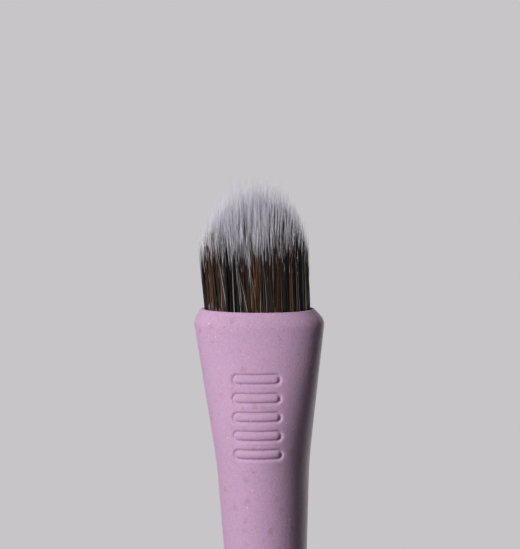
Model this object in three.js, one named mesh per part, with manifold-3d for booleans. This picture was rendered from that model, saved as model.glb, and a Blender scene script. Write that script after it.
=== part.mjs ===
// A concealer brush: a moulded bio-composite handle whose flared oval head holds a flat domed tuft
// of two-tone filaments. The tuft is bound by a thin ferrule hidden inside the head's socket.
// Millimetres, +Z up along the brush, origin at the centre of the flat on the handle's tail.
// The brush is widest along X, and its front, with the thumb grip, faces -Y.
import * as THREE from "three";
import { mergeVertices } from "three/addons/utils/BufferGeometryUtils.js";
import Module from "manifold-3d";

const wasm = await Module();
wasm.setup();

// Socket in the head: its oval mouth, its draft and what stands in it, from the floor up.
// Radii in the head are half widths; front to back it is thinner by HEAD_FLATNESS.
const MOUTH_RADIUS = 4.95;
const HEAD_FLATNESS = 0.56;
const SOCKET_DRAFT = 3.8;
const ADHESIVE_BED = 0.4;
const FERRULE_FOOT = 1.1;
const CRIMP_WIDTH = 1.0;
const PLUG_HEAD = 1.1;
const ROOT_DISC = 1.0;
const TUFT_RECESS = 4.4;
const SOCKET_OVERCUT = 1;

// Handle: lengths from the tail up to the socket's floor, then the flared wall round the socket.
// The round shank turns oval over FLATTENED_LENGTH below the mouth.
const TAIL_LENGTH = 58;
const SHANK_LENGTH = 49;
const NECK_LENGTH = 22;
const FLATTENED_LENGTH = 18;
const TAIL_FLAT_RADIUS = 2.2;
const TAIL_ROUND_WIDTH = 1.4;
const TAIL_ROUND_HEIGHT = 3.2;
const BELLY_RADIUS = 4.9;
const WAIST_RADIUS = 3.72;
const HEAD_WALL = 0.73;
const FLARE_SLOPE = 0.135;
const RIM_LAND = 0.15;
const BEVEL_WIDTH = 1.05;
const BEVEL_HEIGHT = 0.65;
const COLLAR_ROUND = 0.55;

// Thumb grip moulded into the front of the head: a column of bars, each outlined by a groove
const GRIP_BARS = 5;
const GRIP_TOP_DEPTH = 5.6;
const GRIP_BAR_WIDTH = 4.7;
const GRIP_BAR_HEIGHT = 1.15;
const GRIP_BAR_GAP = 0.6;
const GRIP_GROOVE_WIDTH = 0.3;
const GRIP_GROOVE_DEPTH = 0.16;

// Ferrule and resin plug
const BOND_GAP = 0.08;
const FERRULE_WALL = 0.3;
const CRIMP_DEPTH = 0.14;
const PLUG_GAP = 0.05;

// Tuft: oval rings of filaments that stand in discs of set resin, spread out and end in a dome.
// It is made as four bundles, a core and three more round it.
const BUNDLES = ["tuft_core", "tuft_inner_ring", "tuft_middle_ring", "tuft_outer_ring"];
const CORE_RING_COUNT = 4;
const BUNDLE_RING_COUNT = 2;
const RING_GROWTH_COUNT = 6;
const FILAMENT_RADIUS = 0.1;
const FILAMENT_SINK = 0.4;
const FILAMENT_POINT = 2.6;
const ROOT_DISC_GAP = 0.1;
const TUFT_MOUTH_GAP = 0.12;
const TUFT_BULGE = 0.25;
const TUFT_SHAFT = 3.6;
const TUFT_DOME_RISE = 6.2;
const TIP_SCATTER = 0.5;

// Facets
const TURN_STEPS = 48;
const CURVE_STEPS = 7;
const BAR_END_STEPS = 6;
const FILAMENT_SIDES = 3;
const MERGE_DISTANCE = 1e-4;

// Places along the axis: up from the tail, and in the head up from the mouth
const bellyHeight = TAIL_LENGTH;
const waistHeight = bellyHeight + SHANK_LENGTH;
const socketFloor = waistHeight + NECK_LENGTH;
const socketDepth = ADHESIVE_BED + FERRULE_FOOT + CRIMP_WIDTH + PLUG_HEAD + ROOT_DISC + TUFT_RECESS;
const handleLength = socketFloor + socketDepth;
const bedTop = ADHESIVE_BED - socketDepth;
const crimpFoot = bedTop + FERRULE_FOOT;
const crimpTop = crimpFoot + CRIMP_WIDTH;
const plugTop = crimpTop + PLUG_HEAD;
const rootTop = plugTop + ROOT_DISC;

// Finishes
const lilacComposite = new THREE.MeshStandardMaterial({ color: 0xc3a0c0, roughness: 0.55, metalness: 0 });
const spunAluminium = new THREE.MeshStandardMaterial({ color: 0xc9cacc, roughness: 0.35, metalness: 1 });
const amberResin = new THREE.MeshStandardMaterial({ color: 0xb98a4a, roughness: 0.3, metalness: 0 });
const whiteAdhesive = new THREE.MeshStandardMaterial({ color: 0xe6e2d6, roughness: 0.6, metalness: 0 });
const darkFilament = new THREE.MeshStandardMaterial({ color: 0x3a2a22, roughness: 0.45, metalness: 0 });

// A closed geometry as a solid that can be joined and cut.
function solidOf(geometry) {
  const bare = geometry.clone();
  bare.deleteAttribute("normal");
  bare.deleteAttribute("uv");
  const merged = mergeVertices(bare, MERGE_DISTANCE);
  const corners = merged.index.array;
  const triVerts = [];
  for (let i = 0; i < corners.length; i += 3) {
    const [a, b, c] = [corners[i], corners[i + 1], corners[i + 2]];
    if (a !== b && b !== c && c !== a) triVerts.push(a, b, c);
  }
  const mesh = new wasm.Mesh({
    numProp: 3,
    vertProperties: merged.getAttribute("position").array,
    triVerts: new Uint32Array(triVerts),
  });
  return new wasm.Manifold(mesh);
}

function geometryOf(solid) {
  const mesh = solid.getMesh();
  return new THREE.BufferGeometry()
    .setAttribute("position", new THREE.BufferAttribute(mesh.vertProperties, 3))
    .setIndex(new THREE.BufferAttribute(mesh.triVerts, 1));
}

function point(radius, height) {
  return new THREE.Vector2(radius, height);
}

// Turns a profile of (radius, height) points about the Z axis.
function turned(points) {
  return new THREE.LatheGeometry(points, TURN_STEPS).rotateX(Math.PI / 2);
}

// The same with oval sections, as everything inside the head has.
function turnedOval(points) {
  return turned(points).scale(1, HEAD_FLATNESS, 1);
}

function socketRadius(depth) {
  return MOUTH_RADIUS - depth * Math.tan(THREE.MathUtils.degToRad(SOCKET_DRAFT));
}

// Handle

// Half the front view of the handle, from the middle of the tail up to the rim. The shank swells
// and narrows in smooth curves; the head is a nearly straight flare whose collar is rounded over
// into a bevel that runs up to the rim.
function handleOutline() {
  const tailRadius = TAIL_FLAT_RADIUS + TAIL_ROUND_WIDTH;
  const headRadius = socketRadius(socketDepth) + HEAD_WALL;
  const rimRadius = MOUTH_RADIUS + RIM_LAND;
  const cornerRadius = rimRadius + BEVEL_WIDTH;
  const corner = handleLength - BEVEL_HEIGHT - COLLAR_ROUND;
  const collar = corner - COLLAR_ROUND;
  const collarRadius = cornerRadius - FLARE_SLOPE * COLLAR_ROUND;
  const bevelShare = BEVEL_HEIGHT / (BEVEL_HEIGHT + COLLAR_ROUND);
  const bevelRadius = rimRadius + BEVEL_WIDTH * bevelShare;
  const tailPull = (bellyHeight - TAIL_ROUND_HEIGHT) / 2;
  const shankPull = SHANK_LENGTH / 2;
  const waistPull = (2 * NECK_LENGTH) / 5;
  const neckPull = NECK_LENGTH / 4;
  const flarePull = (collar - socketFloor) / 3;
  const path = new THREE.Path()
    .moveTo(0, 0)
    .lineTo(TAIL_FLAT_RADIUS, 0)
    .quadraticCurveTo(tailRadius, 0, tailRadius, TAIL_ROUND_HEIGHT)
    .bezierCurveTo(
      tailRadius, TAIL_ROUND_HEIGHT + tailPull,
      BELLY_RADIUS, bellyHeight - tailPull,
      BELLY_RADIUS, bellyHeight,
    )
    .bezierCurveTo(
      BELLY_RADIUS, bellyHeight + shankPull,
      WAIST_RADIUS, waistHeight - shankPull,
      WAIST_RADIUS, waistHeight,
    )
    .bezierCurveTo(
      WAIST_RADIUS, waistHeight + waistPull,
      headRadius - FLARE_SLOPE * neckPull, socketFloor - neckPull,
      headRadius, socketFloor,
    )
    .bezierCurveTo(
      headRadius + FLARE_SLOPE * flarePull, socketFloor + flarePull,
      collarRadius - FLARE_SLOPE * flarePull, collar - flarePull,
      collarRadius, collar,
    )
    .quadraticCurveTo(cornerRadius, corner, bevelRadius, corner + COLLAR_ROUND)
    .lineTo(rimRadius, handleLength);
  return path.getPoints(CURVE_STEPS);
}

// The handle without its socket and grip: round, and squeezed to an oval towards the mouth.
function handleBlank() {
  const blank = turned([...handleOutline(), point(0, handleLength)]);
  const places = blank.getAttribute("position");
  for (let i = 0; i < places.count; i++) {
    const squeeze = THREE.MathUtils.smoothstep(places.getZ(i), handleLength - FLATTENED_LENGTH, handleLength);
    places.setY(i, places.getY(i) * THREE.MathUtils.lerp(1, HEAD_FLATNESS, squeeze));
  }
  return solidOf(blank);
}

// Outline of a bar with round ends, centred at a height.
function barOutline(Outline, width, height, centre) {
  const radius = height / 2;
  const reach = width / 2 - radius;
  return new Outline()
    .absarc(reach, centre, radius, -Math.PI / 2, Math.PI / 2)
    .absarc(-reach, centre, radius, Math.PI / 2, 1.5 * Math.PI);
}

// The grooves of the thumb grip as one solid: rings pushed in from the front, down to a floor
// that follows the handle's surface at the groove's depth.
function gripGrooves(blank) {
  const floor = blank.translate([0, GRIP_GROOVE_DEPTH, 0]);
  const depth = 2 * (MOUTH_RADIUS + RIM_LAND + BEVEL_WIDTH);
  const pitch = GRIP_BAR_HEIGHT + GRIP_BAR_GAP;
  const topBar = handleLength - GRIP_TOP_DEPTH - GRIP_BAR_HEIGHT / 2;
  const islandWidth = GRIP_BAR_WIDTH - 2 * GRIP_GROOVE_WIDTH;
  const islandHeight = GRIP_BAR_HEIGHT - 2 * GRIP_GROOVE_WIDTH;
  const rings = Array.from({ length: GRIP_BARS }, (_, bar) => {
    const centre = topBar - bar * pitch;
    const ring = barOutline(THREE.Shape, GRIP_BAR_WIDTH, GRIP_BAR_HEIGHT, centre);
    ring.holes.push(barOutline(THREE.Path, islandWidth, islandHeight, centre));
    const prism = new THREE.ExtrudeGeometry(ring, {
      depth,
      bevelEnabled: false,
      curveSegments: BAR_END_STEPS,
    });
    return solidOf(prism.rotateX(Math.PI / 2));
  });
  return rings.reduce((all, ring) => all.add(ring)).subtract(floor);
}

// The socket as a solid, which runs on past the mouth so that it cuts cleanly.
function socketSpace() {
  const top = handleLength + SOCKET_OVERCUT;
  return solidOf(
    turnedOval([
      point(0, socketFloor),
      point(socketRadius(socketDepth), socketFloor),
      point(socketRadius(-SOCKET_OVERCUT), top),
      point(0, top),
    ]),
  );
}

function makeHandle() {
  const blank = handleBlank();
  const handle = blank.subtract(gripGrooves(blank)).subtract(socketSpace());
  return new THREE.Mesh(geometryOf(handle), lilacComposite);
}

// Fixings inside the socket

function ferruleOutside(height) {
  return socketRadius(-height) - BOND_GAP;
}

function ferruleInside(height) {
  return ferruleOutside(height) - FERRULE_WALL;
}

function plugSide(height) {
  return ferruleInside(height) - PLUG_GAP;
}

// A side that follows the socket's draft from the adhesive bed to a height, pressed in by the crimp.
function crimpedSide(radiusAt, top) {
  const crimpMiddle = (crimpFoot + crimpTop) / 2;
  return [
    point(radiusAt(bedTop), bedTop),
    point(radiusAt(crimpFoot), crimpFoot),
    point(radiusAt(crimpMiddle) - CRIMP_DEPTH, crimpMiddle),
    point(radiusAt(crimpTop), crimpTop),
    point(radiusAt(top), top),
  ];
}

function makeAdhesive() {
  const radius = ferruleOutside(-socketDepth);
  const disc = turnedOval([
    point(0, -socketDepth),
    point(radius, -socketDepth),
    point(radius, bedTop),
    point(0, bedTop),
  ]);
  return new THREE.Mesh(disc, whiteAdhesive);
}

function makeFerrule() {
  const outside = crimpedSide(ferruleOutside, rootTop);
  const inside = crimpedSide(ferruleInside, rootTop).reverse();
  return new THREE.Mesh(turnedOval([...outside, ...inside, outside[0]]), spunAluminium);
}

function makePlug() {
  const side = crimpedSide(plugSide, plugTop);
  return new THREE.Mesh(turnedOval([point(0, bedTop), ...side, point(0, plugTop)]), amberResin);
}

// Tuft

const rootRadius = plugSide(plugTop);
const outerRing = rootRadius - FILAMENT_RADIUS - ROOT_DISC_GAP / 2;
const ringCount = CORE_RING_COUNT + (BUNDLES.length - 1) * BUNDLE_RING_COUNT;
const ringPitch = outerRing / ringCount;
const mouthSpread = (MOUTH_RADIUS - TUFT_MOUTH_GAP - FILAMENT_RADIUS) / outerRing;
const shoulderSpread = (MOUTH_RADIUS + TUFT_BULGE - FILAMENT_RADIUS) / outerRing;

// Height of a filament's tip: a parabolic dome, with the tips scattered a little below it.
function tipHeight(ring, scatter) {
  const share = ring / ringCount;
  const dome = TUFT_DOME_RISE * (1 - share * share);
  return TUFT_SHAFT + FILAMENT_POINT + dome - TIP_SCATTER * scatter;
}

// Adds one filament: up from its root to the mouth, on to its shoulder, then tapering to its tip.
// All filaments spread by the same shares of their radius, so none meets another.
function addFilament(corners, ring, angle, tip) {
  const sections = [
    { height: rootTop - FILAMENT_SINK, spread: 1 },
    { height: 0, spread: mouthSpread },
    { height: tip - FILAMENT_POINT, spread: shoulderSpread },
  ];
  const rims = sections.map(({ height, spread }) => {
    const radius = ring * ringPitch * spread;
    return Array.from({ length: FILAMENT_SIDES }, (_, side) => {
      const turn = angle + (side * 2 * Math.PI) / FILAMENT_SIDES;
      return [
        radius * Math.cos(angle) + FILAMENT_RADIUS * Math.cos(turn),
        HEAD_FLATNESS * radius * Math.sin(angle) + FILAMENT_RADIUS * Math.sin(turn),
        height,
      ];
    });
  });
  const tipRadius = ring * ringPitch * shoulderSpread;
  const apex = [tipRadius * Math.cos(angle), HEAD_FLATNESS * tipRadius * Math.sin(angle), tip];
  const [foot, , shoulder] = rims;
  for (let side = 0; side < FILAMENT_SIDES; side++) {
    const next = (side + 1) % FILAMENT_SIDES;
    for (let level = 0; level + 1 < rims.length; level++) {
      const [low, high] = [rims[level], rims[level + 1]];
      corners.push(low[side], low[next], high[next], low[side], high[next], high[side]);
    }
    corners.push(shoulder[side], shoulder[next], apex);
  }
  for (let side = 1; side + 1 < FILAMENT_SIDES; side++) {
    corners.push(foot[0], foot[side + 1], foot[side]);
  }
}

// The disc or ring of set resin that some rings of filaments stand in.
function rootDisc(firstRing, lastRing) {
  const edge = (ringPitch - ROOT_DISC_GAP) / 2;
  const outer = lastRing === ringCount ? rootRadius : lastRing * ringPitch + edge;
  const inner = firstRing === 0 ? 0 : firstRing * ringPitch - edge;
  const section = [
    point(inner, plugTop),
    point(outer, plugTop),
    point(outer, rootTop),
    point(inner, rootTop),
  ];
  return turnedOval(firstRing === 0 ? section : [...section, section[0]]);
}

// Each ring has RING_GROWTH_COUNT filaments more than the one inside it.
function makeBundle(firstRing, lastRing) {
  const corners = [];
  for (let ring = firstRing; ring <= lastRing; ring++) {
    const count = Math.max(1, RING_GROWTH_COUNT * ring);
    for (let i = 0; i < count; i++) {
      const angle = (2 * Math.PI * (i + ring / 2)) / count;
      const scatter = Math.abs(Math.sin(ring * ring + i));
      addFilament(corners, ring, angle, tipHeight(ring, scatter));
    }
  }
  const filaments = new THREE.BufferGeometry();
  filaments.setAttribute("position", new THREE.Float32BufferAttribute(corners.flat(), 3));
  const bundle = solidOf(filaments).add(solidOf(rootDisc(firstRing, lastRing)));
  return new THREE.Mesh(geometryOf(bundle), darkFilament);
}

// Assembly

function named(name, mesh) {
  mesh.name = name;
  return mesh;
}

const head = new THREE.Group();
head.position.z = handleLength;
head.add(
  named("socket_adhesive", makeAdhesive()),
  named("inner_ferrule", makeFerrule()),
  named("root_plug", makePlug()),
);
BUNDLES.forEach((name, bundle) => {
  const lastRing = CORE_RING_COUNT + bundle * BUNDLE_RING_COUNT;
  const firstRing = bundle === 0 ? 0 : lastRing - BUNDLE_RING_COUNT + 1;
  head.add(named(name, makeBundle(firstRing, lastRing)));
});

const brush = new THREE.Group();
brush.name = "concealer_brush";
brush.add(named("handle", makeHandle()), head);

export default brush;
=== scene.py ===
# A concealer brush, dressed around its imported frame: a lilac composite handle whose oval head
# holds a flat, domed tuft of two-tone filaments. Metres, +Z up along the brush, front towards -Y.
import math

import bmesh
import bpy
import numpy as np
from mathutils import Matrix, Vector


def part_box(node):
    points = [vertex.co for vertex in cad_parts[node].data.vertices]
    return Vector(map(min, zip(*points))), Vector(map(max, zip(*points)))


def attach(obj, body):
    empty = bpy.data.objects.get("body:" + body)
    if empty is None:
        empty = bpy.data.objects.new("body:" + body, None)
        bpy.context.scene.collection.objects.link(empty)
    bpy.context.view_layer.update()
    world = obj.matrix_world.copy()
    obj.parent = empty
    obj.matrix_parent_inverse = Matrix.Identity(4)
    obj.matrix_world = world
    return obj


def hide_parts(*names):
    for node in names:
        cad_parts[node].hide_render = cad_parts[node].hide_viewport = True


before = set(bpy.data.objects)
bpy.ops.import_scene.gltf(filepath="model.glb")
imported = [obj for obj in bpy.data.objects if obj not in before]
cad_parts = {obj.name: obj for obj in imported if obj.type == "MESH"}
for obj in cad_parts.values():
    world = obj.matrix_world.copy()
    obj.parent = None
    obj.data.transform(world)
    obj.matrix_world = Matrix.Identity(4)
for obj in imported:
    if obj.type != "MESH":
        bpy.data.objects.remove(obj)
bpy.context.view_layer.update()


# Handle
# One moulding of lilac plant-fibre composite, satin as it leaves the mould, with fibre flecks in it.
# A slim round shank widens into an oval head with a bevelled rim, a blind socket for the tuft,
# and a thumb grip of five outlined bars sunk into the front.
MM = 0.001
MOUTH_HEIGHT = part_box("handle")[1].z
SOCKET_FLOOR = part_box("socket_adhesive")[0].z

# Sizes of the handle: a height is above the tail's flat, a depth is below the mouth
HEAD_FLATNESS = 0.56
FLATTENED_LENGTH = 15 * MM
TAIL_FLAT_RADIUS = 2.2 * MM
TAIL_RADIUS = 3.6 * MM
TAIL_ROUND_HEIGHT = 3.2 * MM
BELLY_RADIUS = 4.9 * MM
BELLY_HEIGHT = 58 * MM
WAIST_RADIUS = 3.72 * MM
WAIST_HEIGHT = 107 * MM
KNEE_RADIUS = 4.35 * MM
KNEE_DEPTH = 14.5 * MM
KNEE_ROUND = 1.6 * MM
SHANK_PULL = 1 / 2
NECK_PULL = 2 / 5
NECK_SLOPE = 0.05
COLLAR_RADIUS = 6.1 * MM
COLLAR_DEPTH = 1.55 * MM
CORNER_RADIUS = 6.17 * MM
CORNER_DEPTH = 1.04 * MM
BEVEL_RADIUS = 5.62 * MM
BEVEL_DEPTH = 0.47 * MM
RIM_RADIUS = 5.2 * MM
MOUTH_RADIUS = 5.05 * MM
SOCKET_RADIUS = 4.352 * MM
RIM_ROUND = 0.22 * MM
MOUTH_LEAN = 1.1
LIP_FULLNESS = 0.05
LIP_DEPTH = 1 * MM
OUTLINE_STEPS = 14

GRIP_BARS = 5
GRIP_TOP_DEPTH = 5.6 * MM
GRIP_BAR_WIDTH = 4.7 * MM
GRIP_BAR_HEIGHT = 1.15 * MM
GRIP_PITCH = 1.75 * MM
GRIP_GROOVE_WIDTH = 0.3 * MM
GRIP_GROOVE_DEPTH = 0.16 * MM
GRIP_PILLOW = 0.05 * MM
GRIP_RING_STEP = 0.1 * MM
GRIP_MARGIN = 0.4 * MM

# Degrees and steps of the spin's arcs: from the right side to the grip, across it, and round the back
SPIN_ARCS = ((57, 19), (66, 84), (237, 79))
MERGE_DISTANCE = 0.0005 * MM
SMOOTH_ANGLE = 40


def on_outline(radius, height):
    return Vector((radius, 0, height))


def straight(start, end):
    """The two Bezier handles of a straight stretch."""
    return start.lerp(end, 1 / 3), start.lerp(end, 2 / 3)


def rounded(start, corner, end):
    """The two Bezier handles of a stretch that rounds off a corner."""
    return start.lerp(corner, 2 / 3), end.lerp(corner, 2 / 3)


def swept(start, end, pull, end_slope=0):
    """The two Bezier handles of a stretch up the shank, which reach a share of its length."""
    length = (end.z - start.z) * pull
    return start + Vector((0, 0, length)), end - Vector((end_slope, 0, 1)) * length


tail_middle = on_outline(0, 0)
tail_edge = on_outline(TAIL_FLAT_RADIUS, 0)
tail_side = on_outline(TAIL_RADIUS, TAIL_ROUND_HEIGHT)
belly = on_outline(BELLY_RADIUS, BELLY_HEIGHT)
waist = on_outline(WAIST_RADIUS, WAIST_HEIGHT)
knee = on_outline(KNEE_RADIUS, MOUTH_HEIGHT - KNEE_DEPTH)
collar = on_outline(COLLAR_RADIUS, MOUTH_HEIGHT - COLLAR_DEPTH)
knee_foot = knee - Vector((NECK_SLOPE, 0, 1)) * KNEE_ROUND
knee_head = knee + (collar - knee).normalized() * KNEE_ROUND
collar_corner = on_outline(CORNER_RADIUS, MOUTH_HEIGHT - CORNER_DEPTH)
bevel_foot = on_outline(BEVEL_RADIUS, MOUTH_HEIGHT - BEVEL_DEPTH)
rim = on_outline(RIM_RADIUS, MOUTH_HEIGHT)
bevel_head = rim + (bevel_foot - rim).normalized() * RIM_ROUND
mouth_edge = on_outline(MOUTH_RADIUS, MOUTH_HEIGHT)
land = (rim + mouth_edge) / 2
floor_edge = on_outline(SOCKET_RADIUS, SOCKET_FLOOR)
socket_wall = mouth_edge + (floor_edge - mouth_edge).normalized() * RIM_ROUND
floor_middle = on_outline(0, SOCKET_FLOOR)

# The stretches of the half outline, each with its Bezier handles and the point that it ends on
stretches = [
    (straight(tail_middle, tail_edge), tail_edge),
    (rounded(tail_edge, on_outline(TAIL_RADIUS, 0), tail_side), tail_side),
    (swept(tail_side, belly, SHANK_PULL), belly),
    (swept(belly, waist, SHANK_PULL), waist),
    (swept(waist, knee_foot, NECK_PULL, NECK_SLOPE), knee_foot),
    (rounded(knee_foot, knee, knee_head), knee_head),
    (straight(knee_head, collar), collar),
    (rounded(collar, collar_corner, bevel_foot), bevel_foot),
    (straight(bevel_foot, bevel_head), bevel_head),
    (rounded(bevel_head, rim, land), land),
    (rounded(land, mouth_edge, socket_wall), socket_wall),
    (straight(socket_wall, floor_edge), floor_edge),
    (straight(floor_edge, floor_middle), floor_middle),
]

bpy.ops.object.select_all(action="DESELECT")
bpy.ops.curve.primitive_bezier_curve_add(location=(0, 0, 0))
handle = bpy.context.object
handle.name = "moulded_handle"
outline = handle.data.splines[0]
outline.resolution_u = OUTLINE_STEPS
outline.bezier_points.add(len(stretches) + 1 - len(outline.bezier_points))
for knot in outline.bezier_points:
    knot.handle_left_type = "FREE"
    knot.handle_right_type = "FREE"
outline.bezier_points[0].co = tail_middle
for number, ((leaving, arriving), end) in enumerate(stretches):
    outline.bezier_points[number].handle_right = leaving
    outline.bezier_points[number + 1].handle_left = arriving
    outline.bezier_points[number + 1].co = end
bpy.ops.object.convert(target="MESH")

grip_top = MOUTH_HEIGHT - GRIP_TOP_DEPTH
grip_foot = grip_top - (GRIP_BARS - 1) * GRIP_PITCH - GRIP_BAR_HEIGHT


def is_coarse_beside_grip(start, end):
    """Whether an edge of the outline runs past the grip, outside the socket, and is still long."""
    middle = (start + end) / 2
    outside = middle.x > MOUTH_RADIUS or middle.z < SOCKET_FLOOR
    beside = grip_foot - GRIP_MARGIN < middle.z < grip_top + GRIP_MARGIN
    return outside and beside and (end - start).length > GRIP_RING_STEP


def select_edges(piece, wanted):
    """Selects, in edit mode, the edges whose two ends pass a test, and says how many there are."""
    bpy.ops.mesh.select_mode(type="EDGE")
    bpy.ops.mesh.select_all(action="DESELECT")
    mesh = bmesh.from_edit_mesh(piece.data)
    chosen = [edge for edge in mesh.edges if wanted(edge.verts[0].co, edge.verts[1].co)]
    for edge in chosen:
        edge.select_set(True)
    bmesh.update_edit_mesh(piece.data)
    return len(chosen)


bpy.ops.object.mode_set(mode="EDIT")
while select_edges(handle, is_coarse_beside_grip):
    bpy.ops.mesh.subdivide(number_cuts=1)
bpy.ops.mesh.select_all(action="SELECT")
for degrees, steps in SPIN_ARCS:
    bpy.ops.mesh.spin(steps=steps, angle=math.radians(degrees), center=(0, 0, 0), axis=(0, 0, 1))
bpy.ops.mesh.select_all(action="SELECT")
bpy.ops.mesh.remove_doubles(threshold=MERGE_DISTANCE)
bpy.ops.mesh.normals_make_consistent(inside=False)
bpy.ops.object.mode_set(mode="OBJECT")


def smoothstep(low, high, value):
    """0 below low, 1 above high, and a smooth climb between them."""
    share = np.clip((value - low) / (high - low), 0, 1)
    return share * share * (3 - 2 * share)


def vertex_places(mesh):
    """The places of a mesh's corners, one in a row."""
    places = np.empty(3 * len(mesh.vertices))
    mesh.vertices.foreach_get("co", places)
    return places.reshape(-1, 3)


def grip_depth(across, height):
    """How far the grip's grooves lie below the smooth surface; its bars swell a little above it."""
    depth = np.zeros_like(across)
    radius = GRIP_BAR_HEIGHT / 2
    reach = GRIP_BAR_WIDTH / 2 - radius
    for bar in range(GRIP_BARS):
        up = height - (grip_top - radius - bar * GRIP_PITCH)
        inward = radius - np.hypot(np.maximum(np.abs(across) - reach, 0), up)
        groove = np.exp(-(((inward - GRIP_GROOVE_WIDTH / 2) / (GRIP_GROOVE_WIDTH / 2)) ** 2))
        pillow = smoothstep(GRIP_GROOVE_WIDTH / 2, radius, inward)
        depth += GRIP_GROOVE_DEPTH * groove - GRIP_PILLOW * pillow
    return depth


# The round head's lip is made fuller on the left, the head is squeezed to an oval, the grip is pressed
# into its front, and the mouth leans to the right
places = vertex_places(handle.data)
x, y, z = places.T
reach = np.hypot(x, y)
in_socket = (reach < MOUTH_RADIUS + MERGE_DISTANCE) & (z > SOCKET_FLOOR - MERGE_DISTANCE)
on_lip = np.clip((reach - MOUTH_RADIUS) / (RIM_RADIUS - MOUTH_RADIUS), 0, 1)
on_lip *= smoothstep(MOUTH_HEIGHT - LIP_DEPTH, MOUTH_HEIGHT, z)
x *= np.where(x < 0, 1 + LIP_FULLNESS * on_lip, 1)
squeeze = 1 - (1 - HEAD_FLATNESS) * smoothstep(MOUTH_HEIGHT - FLATTENED_LENGTH, MOUTH_HEIGHT, z)
y *= np.where(in_socket, HEAD_FLATNESS, squeeze)
y += np.where((y < 0) & ~in_socket, grip_depth(x, z), 0)
z -= x * math.tan(math.radians(MOUTH_LEAN)) * smoothstep(SOCKET_FLOOR, MOUTH_HEIGHT, z)
handle.data.vertices.foreach_set("co", places.ravel())
bpy.ops.object.shade_smooth_by_angle(angle=math.radians(SMOOTH_ANGLE))

# The composite's two lilacs, which drift into each other, its fine grain and its satin
PINKER = (0.582, 0.359, 0.528, 1)
BLUER = (0.554, 0.359, 0.541, 1)
MOTTLE_SIZE = 1.5 * MM
MOTTLE_DETAIL = 3
GRAIN_DEEP = (0.486, 0.305, 0.459, 1)
GRAIN_SIZE = 0.17 * MM
GRAIN_DETAIL = 2
GRAIN_SHARE = 0.7
GRAIN_HEIGHT = 0.03 * MM
NOISE_CLIMB = (0.35, 0.65)
NOISE_MIDDLE = 0.5
HANDLE_ROUGHNESS = 0.38
ROUGHNESS_SPREAD = 0.2
HANDLE_SHEEN = 0.2

# Its tan and plum fibres, and white dots painted into the colour as glints of light: a spacing is the
# width of a cell that holds one at most, a radius is a share of that width, and a share is how strongly
# it covers. The drift makes the outlines of the fibres uneven.
FIBRE_TAN = (0.43, 0.25, 0.27, 1)
TAN_SPACING = 1.05 * MM
TAN_RADIUS = 0.48
TAN_SHARE = 0.55
FIBRE_PLUM = (0.33, 0.17, 0.29, 1)
PLUM_SPACING = 0.85 * MM
PLUM_RADIUS = 0.2
PLUM_SHARE = 0.7
# Painted glints: near-white dots in the base colour that stand in for sparkles of light off the satin
PAINTED_GLINT_WHITE = (0.86, 0.80, 0.87, 1)
PAINTED_GLINT_SPACING = 0.55 * MM
PAINTED_GLINT_RADIUS = 0.15
PAINTED_GLINT_SHARE = 0.9
SPOT_SOFTNESS = 0.7
FLECK_DRIFT_SIZE = 0.45 * MM
FLECK_DRIFT = 0.9 * MM
FLECK_SHIFT = (4.9 * MM, 2.8 * MM, 9.1 * MM)


class Signal:
    """A shader socket in an expression: an operator adds its Math node, and node() any other node."""

    def __init__(self, tree, socket):
        self.tree = tree
        self.socket = socket

    @classmethod
    def node(cls, tree, kind, settings=None, inputs=None, output=0):
        """Adds a node, makes its settings, then fills or links its sockets; gives one output."""
        made = tree.nodes.new("ShaderNode" + kind)
        for name, value in (settings or {}).items():
            if name == "stops":
                cls.set_stops(made.color_ramp.elements, value)
            elif name == "steps":
                made.color_ramp.interpolation = value
            else:
                setattr(made, name, value)
        for name, value in (inputs or {}).items():
            if isinstance(value, Signal):
                tree.links.new(value.socket, made.inputs[name])
            else:
                made.inputs[name].default_value = value
        return cls(tree, made.outputs[output]) if made.outputs else None

    @staticmethod
    def set_stops(elements, stops):
        """Gives a colour ramp its stops, pairs of a place from 0 to 1 and a colour."""
        while len(elements) < len(stops):
            elements.new(1)
        for element, (place, colour) in zip(elements, stops):
            element.position = place
            element.color = colour

    def math_node(self, operation, first, second=0):
        return self.node(self.tree, "Math", {"operation": operation}, {0: first, 1: second})

    def __add__(self, other):
        return self.math_node("ADD", self, other)

    def __sub__(self, other):
        return self.math_node("SUBTRACT", self, other)

    def __rsub__(self, other):
        return self.math_node("SUBTRACT", other, self)

    def __mul__(self, other):
        return self.math_node("MULTIPLY", self, other)

    __radd__ = __add__
    __rmul__ = __mul__

    def or_larger(self, other):
        return self.math_node("MAXIMUM", self, other)

    def fraction(self):
        return self.math_node("FRACT", self)

    def climb(self, low, high):
        """A smooth climb from 0 at low to 1 at high, or a fall where low is the larger."""
        ends = {"Value": self, "From Min": low, "From Max": high}
        return self.node(self.tree, "MapRange", {"interpolation_type": "SMOOTHSTEP"}, ends)

    def blend(self, first, second):
        """Two colours mixed, with this signal as the second one's share."""
        settings = {"data_type": "RGBA", "clamp_factor": True}
        return self.node(self.tree, "Mix", settings, {0: self, 6: first, 7: second}, 2)


def new_finish(name):
    """A material with an empty node tree, and the tree."""
    material = bpy.data.materials.new(name)
    material.use_nodes = True
    material.node_tree.nodes.clear()
    return material, material.node_tree


def add_surface(tree, inputs):
    """Ends a material's nodes with an opaque surface that has these inputs."""
    surface = Signal.node(tree, "BsdfPrincipled", None, inputs)
    Signal.node(tree, "OutputMaterial", None, {"Surface": surface})


def noise(tree, place, size, detail):
    """Soft random values from 0 to 1 whose blobs are about a size across."""
    inputs = {"Vector": place, "Scale": 1 / size, "Detail": detail}
    return Signal.node(tree, "TexNoise", None, inputs)


def uneven(roughness, pattern):
    """A roughness that goes a little up and down with a noise pattern."""
    return roughness + (pattern - NOISE_MIDDLE) * ROUGHNESS_SPREAD


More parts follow.
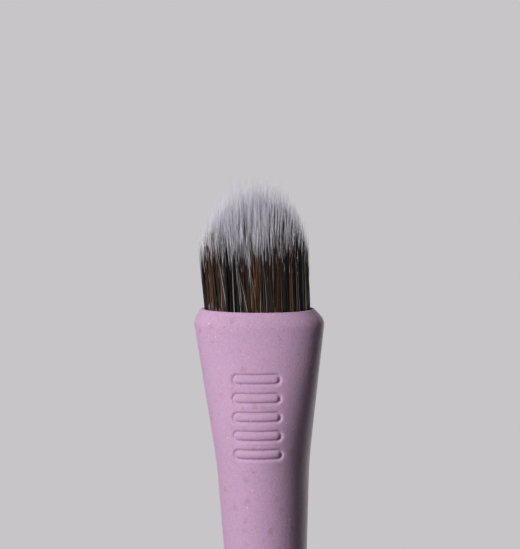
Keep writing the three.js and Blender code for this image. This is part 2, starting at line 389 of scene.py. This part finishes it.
def grained(tree, pattern, strength=1):
    """The normal of a surface whose fine grain follows a noise pattern."""
    inputs = {"Strength": strength, "Distance": GRAIN_HEIGHT, "Height": pattern}
    return Signal.node(tree, "Bump", None, inputs)


def scattered_spots(tree, place, spacing, radius):
    """Soft round spots, at most one in a cell; the radius is a share of the cell's width."""
    inputs = {"Vector": place, "Scale": 1 / spacing}
    distance = Signal.node(tree, "TexVoronoi", None, inputs, "Distance")
    cell_colour = Signal.node(tree, "TexVoronoi", None, inputs, "Color")
    chance = Signal.node(tree, "SeparateColor", None, {"Color": cell_colour}, "Red")
    return (chance * radius - distance).climb(0, radius * SPOT_SOFTNESS)


def lilac_composite():
    material, tree = new_finish("lilac_composite")
    place = Signal.node(tree, "TexCoord", output="Object")
    mottle = noise(tree, place, MOTTLE_SIZE, MOTTLE_DETAIL)
    grain = noise(tree, place, GRAIN_SIZE, GRAIN_DETAIL)
    drift_field = {"Vector": place, "Scale": 1 / FLECK_DRIFT_SIZE}
    drift = Signal.node(tree, "TexNoise", None, drift_field, "Color")
    shifted = Signal.node(tree, "Mapping", None, {"Vector": place, "Location": FLECK_SHIFT})
    terms = {0: drift, 1: (FLECK_DRIFT, FLECK_DRIFT, FLECK_DRIFT), 2: shifted}
    drifted = Signal.node(tree, "VectorMath", {"operation": "MULTIPLY_ADD"}, terms)
    tan = scattered_spots(tree, drifted, TAN_SPACING, TAN_RADIUS)
    plum = scattered_spots(tree, drifted, PLUM_SPACING, PLUM_RADIUS)
    # Painted glints: small near-white dots in the colour that stand in for sparkles of light off the
    # surface
    painted_glints = scattered_spots(tree, place, PAINTED_GLINT_SPACING, PAINTED_GLINT_RADIUS)
    colour = mottle.climb(*NOISE_CLIMB).blend(PINKER, BLUER)
    colour = (grain.climb(*NOISE_CLIMB) * GRAIN_SHARE).blend(colour, GRAIN_DEEP)
    colour = (tan * TAN_SHARE).blend(colour, FIBRE_TAN)
    colour = (plum * PLUM_SHARE).blend(colour, FIBRE_PLUM)
    colour = (painted_glints * PAINTED_GLINT_SHARE).blend(colour, PAINTED_GLINT_WHITE)
    surface = {
        "Base Color": colour,
        "Roughness": uneven(HANDLE_ROUGHNESS, grain),
        "Normal": grained(tree, grain),
        "Specular IOR Level": HANDLE_SHEEN,
    }
    add_surface(tree, surface)
    return material


handle.data.materials.append(lilac_composite())
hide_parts("handle")
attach(handle, "root")


# Adhesive bed, inner ferrule and resin plug
# Hidden in the socket: a bed of off-white glue on its floor, a thin crimped aluminium band round the
# roots of the filaments, and the amber resin that the roots are set in. Their solids stay as they are.
GLUE_PALE = (0.78, 0.75, 0.67, 1)
GLUE_YELLOWED = (0.70, 0.62, 0.45, 1)
GLUE_ROUGHNESS = 0.6
ALUMINIUM = (0.78, 0.79, 0.80, 1)
ALUMINIUM_DULL = (0.62, 0.63, 0.65, 1)
ALUMINIUM_ROUGHNESS = 0.35
DRAW_LINE_SIZE = 0.08 * MM
DRAW_LINE_SCALE = 0.02
RESIN_AMBER = (0.48, 0.26, 0.07, 1)
RESIN_DARK = (0.26, 0.11, 0.03, 1)
RESIN_ROUGHNESS = 0.25
CLOUD_SIZE = 1.2 * MM
CLOUD_DETAIL = 2
CLOUD_CLIMB = (0.3, 0.7)
CLOUD_GRAIN = 0.3


def clouded(name, tones, roughness, size=CLOUD_SIZE, axis_scale=1, metallic=0):
    """A finish of two tones in soft clouds, which a small scale along the axis draws into lines."""
    material, tree = new_finish(name)
    place = Signal.node(tree, "TexCoord", output="Object")
    place = Signal.node(tree, "Mapping", None, {"Vector": place, "Scale": (1, 1, axis_scale)})
    cloud = noise(tree, place, size, CLOUD_DETAIL)
    surface = {
        "Base Color": cloud.climb(*CLOUD_CLIMB).blend(*tones),
        "Roughness": uneven(roughness, cloud),
        "Metallic": metallic,
        "Normal": grained(tree, cloud, CLOUD_GRAIN),
    }
    add_surface(tree, surface)
    return material


inner_finishes = {
    "socket_adhesive": clouded("set_glue", (GLUE_PALE, GLUE_YELLOWED), GLUE_ROUGHNESS),
    "inner_ferrule": clouded(
        "drawn_aluminium",
        (ALUMINIUM, ALUMINIUM_DULL),
        ALUMINIUM_ROUGHNESS,
        size=DRAW_LINE_SIZE,
        axis_scale=DRAW_LINE_SCALE,
        metallic=1,
    ),
    "root_plug": clouded("amber_resin", (RESIN_AMBER, RESIN_DARK), RESIN_ROUGHNESS),
}
for node, material in inner_finishes.items():
    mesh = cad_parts[node].data
    mesh.materials.clear()
    mesh.materials.append(material)


# Tuft
# Thousands of synthetic filaments, dyed near-black, brown and chestnut up from the root and white at
# the tip. Their roots are set in resin in the ferrule, and they fan out of the mouth, cling together
# in locks and end in a soft dome.
SEED = 3
FILAMENT_COUNT = 4600
FILAMENT_JITTER = 0.45
GOLDEN_ANGLE = math.pi * (3 - math.sqrt(5))

# A filament's shape, with the places along it at which it is cut across, from the root to the tip
FILAMENT_SIDES = 3
FILAMENT_STATIONS = (0, 0.25, 0.42, 0.56, 0.68, 0.79, 0.9, 1)
FILAMENT_RADIUS = (0.045 * MM, 0.07 * MM)
TAPER_START = 0.5
TIP_THINNESS = 0.06
BOW = 0.05 * MM

# How deep the roots stand below the mouth, and the dome of the tips above it
ROOT_DEPTH = 4.4 * MM
DOME_TOP = 12.8 * MM
DOME_FALL = 5.55 * MM
DOME_POWER = 2.6
TIP_DROP_SHAPE = 2.4
TIP_DROP = 0.75 * MM

# How far the tuft reaches to its left and to its right at some heights above the mouth
REACH_HEIGHTS = (-ROOT_DEPTH, 0, 2 * MM, 4.3 * MM, 7 * MM, 9 * MM, 12.5 * MM)
LEFT_REACH = (4.1 * MM, 5.05 * MM, 5.16 * MM, 5.3 * MM, 5.45 * MM, 5.45 * MM, 5.4 * MM)
RIGHT_REACH = (4.1 * MM, 4.78 * MM, 4.78 * MM, 4.78 * MM, 4.85 * MM, 5.05 * MM, 5.1 * MM)

# How the filaments gather in locks from a place along their length on, and how far their tips stray
LOCK_COUNT = 240
LOCK_JITTER = 0.4
LOCK_START = 0.2
LOCK_PULL = 0.5
TIP_WANDER = 0.13 * MM
STRAY_SHARE = 0.02
STRAY_WANDER = 0.5 * MM

# Each bundle's inner and outer edge, as shares of the way from the tuft's middle to its rim
BUNDLE_EDGES = {
    "tuft_core": (0, 0.45),
    "tuft_inner_ring": (0.45, 0.65),
    "tuft_middle_ring": (0.65, 0.85),
    "tuft_outer_ring": (0.85, 2),
}

# Dyes of the roots, and how many of the dye map's columns each has
BLACK, BROWN, CHESTNUT, GREY, PALE = range(5)
DYES = (
    (0.0085, 0.006, 0.0075),
    (0.036, 0.019, 0.012),
    (0.092, 0.043, 0.018),
    (0.22, 0.18, 0.13),
    (0.24, 0.215, 0.22),
)
DYE_COLUMNS = (12, 9, 6, 3, 2)
DYE_SPREAD = 0.3

# Roots near each other share a patch's dye: the dyes' chances for a patch, a filament's chance of
# following its patch, and the dyes' chances where it doesn't
PATCH_COUNT = 45
PATCH_JITTER = 0.5
PATCH_SHARES = (0.5, 0.33, 0.17, 0, 0)
PATCH_CHANCE = 0.72
OWN_SHARES = (0.5, 0.22, 0.12, 0.09, 0.07)

# A filament is in the front where its root stands past a share of the way out and before a depth
FRONT_SHARE = 0.6
FRONT_EDGE = 0.4

# Patches of dye that show in the front, from left to right: the place where each ends, in millimetres
FRONT_PATCHES = (
    (-4.75, BLACK),
    (-4.3, BROWN),
    (-3.95, CHESTNUT),
    (-3.4, BROWN),
    (-3.15, CHESTNUT),
    (-2.8, BROWN),
    (-1.2, BLACK),
    (-0.3, BROWN),
    (0.3, CHESTNUT),
    (2.1, BROWN),
    (2.6, CHESTNUT),
    (3.05, BLACK),
    (3.7, CHESTNUT),
    (4.45, BLACK),
    # The last, grey patch on the right edge is partly painted light: its lighter dye stands in for the
    # light from behind that the edge filaments catch, as well as for the tuft's own grey-tan strands
    # there
    (6, GREY),
)

# Single pale filaments in the front, at these millimetres across, and short pale stubs by the rim
PALE_PLACES = (-2.6, -1.55, -1.3, -1.1, -0.75, -0.4, 0.25, 1.05, 2.2)
PALE_REACH = 0.15 * MM
PALE_LEAN = (-1.2 * MM, 0.1 * MM)
STUB_COUNT = 12
STUB_PLACES = (-4.7 * MM, -3.6 * MM)
STUB_HEIGHTS = (0.3 * MM, 0.9 * MM)
STUB_RADIUS = 0.09 * MM

# Where the dye ends on a filament, above the mouth: higher in the middle and on a share of dark
# filaments, and a little higher or lower at some places across
DYE_LINE = 5.9 * MM
DYE_LINE_SCATTER = 0.85 * MM
LOCK_DYE_SCATTER = 0.7 * MM
DARK_SHARE = 0.13
DARK_REACH = 3 * MM
DYE_LINE_RISE = 2.2 * MM
LOCAL_PLACES = (-5 * MM, -4.2 * MM, -3 * MM, 0.8 * MM, 1.8 * MM, 4 * MM, 4.8 * MM)
LOCAL_RISES = (1.5 * MM, 0.5 * MM, 0.3 * MM, -0.7 * MM, 0.6 * MM, 1.3 * MM, 0.5 * MM)
WHITE_LEAST = 0.3 * MM

# The dye map, with the dye below its middle and the tip above it: the tip's two tones, which take
# turns every few columns, and how far the dye bleeds into the tip
MAP_MIDDLE = 0.5
TIP_WHITE = (0.82, 0.79, 0.84, 1)
TIP_LILAC = (0.56, 0.535, 0.68, 1)
TONE_COLUMNS = 4
TONE_CLIMB = (0.3, 0.9)
BLEED = (0.455, 0.58)
COLUMN_MARGIN = 0.12
CAP_NUDGE = 0.02
FILAMENT_ROUGHNESS = 0.38
FILAMENT_IOR = 1.5

rng = np.random.default_rng(SEED)


def model_filament():
    """One filament as a rod of unit size, cut across at its stations: its corners and its faces."""
    bpy.ops.object.select_all(action="DESELECT")
    bpy.ops.mesh.primitive_cylinder_add(
        vertices=FILAMENT_SIDES, radius=1, depth=1, location=(0, 0, 0.5), calc_uvs=False
    )
    rod = bpy.context.object
    bpy.ops.object.transform_apply(location=True, rotation=False, scale=False)
    bpy.ops.object.mode_set(mode="EDIT")
    select_edges(rod, lambda start, end: start.z != end.z)
    bpy.ops.mesh.subdivide(number_cuts=len(FILAMENT_STATIONS) - 2)
    bpy.ops.object.mode_set(mode="OBJECT")
    corners = vertex_places(rod.data)
    faces = [list(face.vertices) for face in rod.data.polygons]
    bpy.data.objects.remove(rod)
    return corners, faces


rod_corners, rod_faces = model_filament()
rod_station = np.rint(rod_corners[:, 2] * (len(FILAMENT_STATIONS) - 1)).astype(int)
rod_turn = np.arctan2(rod_corners[:, 1], rod_corners[:, 0])
rod_side = np.rint(rod_turn / (2 * math.pi / FILAMENT_SIDES)).astype(int) % FILAMENT_SIDES


def sunflower(count, jitter):
    """Points spread evenly over a disc of radius 1, moved a little at random."""
    order = np.arange(count)
    share = np.sqrt((order + 0.5) / count)
    angle = order * GOLDEN_ANGLE
    places = np.stack([share * np.cos(angle), share * np.sin(angle)], axis=1)
    return places + rng.normal(0, jitter / math.sqrt(count), places.shape)


def nearest(places, centres):
    """For each place, the number of the centre that is nearest to it."""
    return ((places[:, None] - centres[None]) ** 2).sum(2).argmin(axis=1)


# Where the filaments stand on a disc of radius 1, how far they reach and how they stray
root = sunflower(FILAMENT_COUNT, FILAMENT_JITTER)
share = np.minimum(np.hypot(root[:, 0], root[:, 1]), 1)
at_mouth = REACH_HEIGHTS.index(0)
mouth_x = root[:, 0] * np.where(root[:, 0] < 0, LEFT_REACH[at_mouth], RIGHT_REACH[at_mouth])
in_front = (root[:, 1] < FRONT_EDGE) & (share > FRONT_SHARE)
locks = sunflower(LOCK_COUNT, LOCK_JITTER)
lock = nearest(root, locks)
stray = rng.random(FILAMENT_COUNT) < STRAY_SHARE
wander = np.where(stray, STRAY_WANDER, TIP_WANDER)[:, None] * rng.normal(0, 1, (FILAMENT_COUNT, 2))
bow = BOW * rng.normal(0, 1, (FILAMENT_COUNT, 2))
thickness = rng.uniform(*FILAMENT_RADIUS, FILAMENT_COUNT)
turn = rng.uniform(0, 2 * math.pi, FILAMENT_COUNT)
tip = DOME_TOP - DOME_FALL * share**DOME_POWER - rng.gamma(TIP_DROP_SHAPE, TIP_DROP, FILAMENT_COUNT)
tip = np.maximum(tip, max(STUB_HEIGHTS))

# The dye of each: mostly its patch's, else its own, with pale ones and stubs in the front, and where
# the dye ends
dye_of_patch = rng.choice(len(DYES), PATCH_COUNT, p=PATCH_SHARES)
patch_dye = dye_of_patch[nearest(root, sunflower(PATCH_COUNT, PATCH_JITTER))]
front_edges, front_dyes = zip(*FRONT_PATCHES)
front_dye = np.take(front_dyes, np.searchsorted(np.array(front_edges) * MM, mouth_x))
own_dye = rng.choice(len(DYES), FILAMENT_COUNT, p=OWN_SHARES)
follows_patch = rng.random(FILAMENT_COUNT) < PATCH_CHANCE
dye = np.where(follows_patch, np.where(in_front, front_dye, patch_dye), own_dye)
for place in PALE_PLACES:
    near = np.flatnonzero(np.abs(mouth_x - place * MM) < PALE_REACH)
    foremost = near[root[near, 1].argmin()]
    dye[foremost] = PALE
    thickness[foremost] = min(FILAMENT_RADIUS)
    wander[foremost, 0] = rng.uniform(*PALE_LEAN)
first_stub, last_stub = STUB_PLACES
by_rim = np.flatnonzero(in_front & (mouth_x > first_stub) & (mouth_x < last_stub))
stubs = by_rim[share[by_rim].argsort()[-STUB_COUNT:]]
dye[stubs] = PALE
tip[stubs] = rng.uniform(*STUB_HEIGHTS, STUB_COUNT)
thickness[stubs] = STUB_RADIUS
dye_line = DYE_LINE + DYE_LINE_RISE * (1 - share**2)
dye_line += np.interp(mouth_x, LOCAL_PLACES, LOCAL_RISES)
dye_line += LOCK_DYE_SCATTER * rng.normal(0, 1, LOCK_COUNT)[lock]
dye_line += DYE_LINE_SCATTER * rng.normal(0, 1, FILAMENT_COUNT)
dye_line += np.where(rng.random(FILAMENT_COUNT) < DARK_SHARE, DARK_REACH, 0)
white = np.maximum(tip - dye_line, WHITE_LEAST)

# The columns of the dye map: every dye in a few depths, of which a filament takes one
columns = [
    tuple(depth * part for part in colour)
    for colour, count in zip(DYES, DYE_COLUMNS)
    for depth in np.linspace(1 - DYE_SPREAD, 1 + DYE_SPREAD, count)
]
first_column = np.cumsum((0,) + DYE_COLUMNS)[dye]
column = first_column + (rng.random(FILAMENT_COUNT) * np.array(DYE_COLUMNS)[dye]).astype(int)

# The middle of every filament at each of its stations, its thickness there and its place up the dye map
station = np.array(FILAMENT_STATIONS)[None]
length = (tip + ROOT_DEPTH)[:, None]
height = length * station - ROOT_DEPTH
pull = LOCK_PULL * smoothstep(LOCK_START, 1, station)
across = root[:, :1] + pull * (locks[lock, :1] - root[:, :1])
deep = root[:, 1:] + pull * (locks[lock, 1:] - root[:, 1:])
left_reach = np.interp(height, REACH_HEIGHTS, LEFT_REACH)
right_reach = np.interp(height, REACH_HEIGHTS, RIGHT_REACH)
half_width = (left_reach + right_reach) / 2
arch = np.sin(math.pi * station)
middle_x = across * np.where(across < 0, left_reach, right_reach)
middle_x = middle_x + wander[:, :1] * station**2 + bow[:, :1] * arch
middle_y = deep * half_width * HEAD_FLATNESS + wander[:, 1:] * station**2 + bow[:, 1:] * arch
radius = thickness[:, None] * (1 - (1 - TIP_THINNESS) * smoothstep(TAPER_START, 1, station))
white_start = 1 - white[:, None] / length
dyed = np.where(
    station < white_start,
    MAP_MIDDLE * station / white_start,
    MAP_MIDDLE + (1 - MAP_MIDDLE) * (station - white_start) / (1 - white_start),
)


def filament_map(chosen):
    """Each face corner's place on the dye map: across its dye column, and up with the dye.

    The face that closes the ring ends on the far side of the column. A cap has one corner nudged, so
    that its patch of the map has an area.
    """
    corners = np.array([corner for face in rod_faces for corner in face])
    side = []
    nudge = []
    for face in rod_faces:
        sides = [rod_side[corner] for corner in face]
        is_cap = len(face) == FILAMENT_SIDES
        closes = not is_cap and max(sides) - min(sides) > 1
        side += [FILAMENT_SIDES if closes and one == 0 else one for one in sides]
        nudge += [CAP_NUDGE if is_cap and one == 1 else 0 for one in sides]
    across_column = COLUMN_MARGIN + (1 - 2 * COLUMN_MARGIN) * np.array(side) / FILAMENT_SIDES
    up = np.abs(dyed[chosen][:, rod_station[corners]] - np.array(nudge))
    return np.stack([(column[chosen, None] + across_column) / len(columns), up], axis=2)


def grow_bundle(name, chosen, material):
    """One bundle of filaments: the rod's corners set round each filament's middle line."""
    angle = turn[chosen, None] + rod_turn
    places = np.stack(
        [
            middle_x[chosen][:, rod_station] + radius[chosen][:, rod_station] * np.cos(angle),
            middle_y[chosen][:, rod_station] + radius[chosen][:, rod_station] * np.sin(angle),
            height[chosen][:, rod_station] + MOUTH_HEIGHT,
        ],
        axis=2,
    )
    count = len(rod_corners)
    faces = [[corner + count * i for corner in face] for i in range(len(chosen)) for face in rod_faces]
    mesh = bpy.data.meshes.new(name)
    mesh.from_pydata(places.reshape(-1, 3).tolist(), [], faces)
    mesh.uv_layers.new(name="OFBake").data.foreach_set("uv", filament_map(chosen).ravel())
    mesh.shade_smooth()
    mesh.materials.append(material)
    bundle = bpy.data.objects.new(name, mesh)
    bpy.context.collection.objects.link(bundle)
    return bundle


def dyed_filament():
    material, tree = new_finish("dyed_filament")
    place = Signal.node(tree, "UVMap", {"uv_map": "OFBake"})
    column_place = Signal.node(tree, "SeparateXYZ", None, {"Vector": place}, "X")
    up = Signal.node(tree, "SeparateXYZ", None, {"Vector": place}, "Y")
    stops = [(i / len(columns), (*colour, 1)) for i, colour in enumerate(columns)]
    ramp = {"stops": stops, "steps": "CONSTANT"}
    root_dye = Signal.node(tree, "ValToRGB", ramp, {"Fac": column_place})
    turns = (column_place * (len(columns) / TONE_COLUMNS)).fraction()
    tip_tone = turns.climb(*TONE_CLIMB).blend(TIP_WHITE, TIP_LILAC)
    colour = up.climb(*BLEED).blend(root_dye, tip_tone)
    add_surface(tree, {"Base Color": colour, "Roughness": FILAMENT_ROUGHNESS, "IOR": FILAMENT_IOR})
    return material


filament_finish = dyed_filament()
for node, (inner, outer) in BUNDLE_EDGES.items():
    chosen = np.flatnonzero((share >= inner) & (share < outer))
    bundle = grow_bundle(node + "_filaments", chosen, filament_finish)
    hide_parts(node)
    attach(bundle, "root")


# Floor, backdrop and lamps
# A plain pale floor under the standing brush that runs out into a plain grey backdrop, a key lamp
# from the front left, and weaker fills from behind, from above and behind, and from behind on the
# right.
BACKDROP = (0.571, 0.558, 0.578, 1)
FLOOR_PALE = (0.80, 0.785, 0.80, 1)
FLOOR_DIM = (0.15, 0.15, 0.15, 1)
FLOOR_RADIUS = 0.42
FLOOR_SIDES = 96
FLOOR_FADE = (0.05, 0.26)
AMBIENT = 0.01
LAMP_TARGET = Vector((0, 0, MOUTH_HEIGHT))

# Each lamp's azimuth to the right of the front, elevation, distance, size and power, and whether
# it shows in reflections
LAMPS = {
    "key": (-36.5, 23, 0.4, 0.12, 1.85, False),
    "back_fill": (178, -6, 0.5, 0.3, 1.3, False),
    "high_fill": (180, 55, 0.4, 0.3, 0.3, True),
    "right_fill": (142, 0, 0.4, 0.3, 0.25, True),
}


def sight(tree):
    """1 for rays that should see the backdrop: from the camera, by a reflection or through glass."""
    from_camera, reflected, through = [
        Signal.node(tree, "LightPath", output=name)
        for name in ("Is Camera Ray", "Is Glossy Ray", "Is Transmission Ray")
    ]
    return from_camera.or_larger(reflected).or_larger(through)


def pale_floor():
    material, tree = new_finish("pale_floor")
    place = Signal.node(tree, "TexCoord", output="Object")
    distance = Signal.node(tree, "VectorMath", {"operation": "LENGTH"}, {0: place}, "Value")
    seen = sight(tree)
    faded = distance.climb(*FLOOR_FADE) * seen
    card = Signal.node(tree, "BsdfDiffuse", None, {"Color": seen.blend(FLOOR_DIM, FLOOR_PALE)})
    glow = Signal.node(tree, "Emission", None, {"Color": BACKDROP})
    surface = Signal.node(tree, "MixShader", None, {0: faded, 1: card, 2: glow})
    Signal.node(tree, "OutputMaterial", None, {"Surface": surface})
    return material


bpy.ops.object.select_all(action="DESELECT")
bpy.ops.mesh.primitive_circle_add(vertices=FLOOR_SIDES, radius=FLOOR_RADIUS, fill_type="NGON")
floor = bpy.context.object
floor.name = "floor"
floor.data.materials.append(pale_floor())

world = bpy.data.worlds.new("studio")
bpy.context.scene.world = world
world.use_nodes = True
tree = world.node_tree
tree.nodes.clear()
dim = Signal.node(tree, "Background", None, {"Color": (AMBIENT, AMBIENT, AMBIENT, 1)})
plain = Signal.node(tree, "Background", None, {"Color": BACKDROP})
surroundings = Signal.node(tree, "MixShader", None, {0: sight(tree), 1: dim, 2: plain})
Signal.node(tree, "OutputWorld", None, {"Surface": surroundings})


def around(azimuth, elevation, distance):
    """The way from the target to a place, with azimuth 0 in front and 90 on the right."""
    turn_angle = math.radians(azimuth)
    rise = math.radians(elevation)
    level = math.cos(rise)
    way = Vector((math.sin(turn_angle) * level, -math.cos(turn_angle) * level, math.sin(rise)))
    return way * distance


for name, (azimuth, elevation, distance, size, power, shows) in LAMPS.items():
    way = around(azimuth, elevation, distance)
    bpy.ops.object.light_add(type="AREA", location=LAMP_TARGET + way)
    lamp = bpy.context.object
    lamp.name = name
    lamp.rotation_euler = (-way).to_track_quat("-Z", "Y").to_euler()
    lamp.data.size = size
    lamp.data.energy = power
    lamp.visible_camera = False
    lamp.visible_glossy = shows


# Camera
# A long lens that looks a little down at the head from just right of its front, and is rolled a little
# so that the brush leans in the picture.
CAMERA_AZIMUTH = 6.5
CAMERA_ELEVATION = 7.5
CAMERA_DISTANCE = 0.30
CAMERA_ROLL = -1.6
TARGET_SHIFT = 0.2 * MM
TARGET_RISE = 3.2 * MM
PICTURE_WIDTH = 48.6 * MM
SENSOR_WIDTH = 36

target = Vector((TARGET_SHIFT, 0, MOUTH_HEIGHT + TARGET_RISE))
way = around(CAMERA_AZIMUTH, CAMERA_ELEVATION, CAMERA_DISTANCE)
bpy.ops.object.camera_add(location=target + way)
camera = bpy.context.object
camera.rotation_euler = (target - camera.location).to_track_quat("-Z", "Y").to_euler()
camera.rotation_euler.rotate_axis("Z", math.radians(CAMERA_ROLL))
camera.data.sensor_fit = "HORIZONTAL"
camera.data.sensor_width = SENSOR_WIDTH
camera.data.lens = SENSOR_WIDTH * CAMERA_DISTANCE / PICTURE_WIDTH
bpy.context.scene.camera = camera
bpy.context.scene.view_settings.view_transform = "Standard"

bpy.context.view_layer.update()
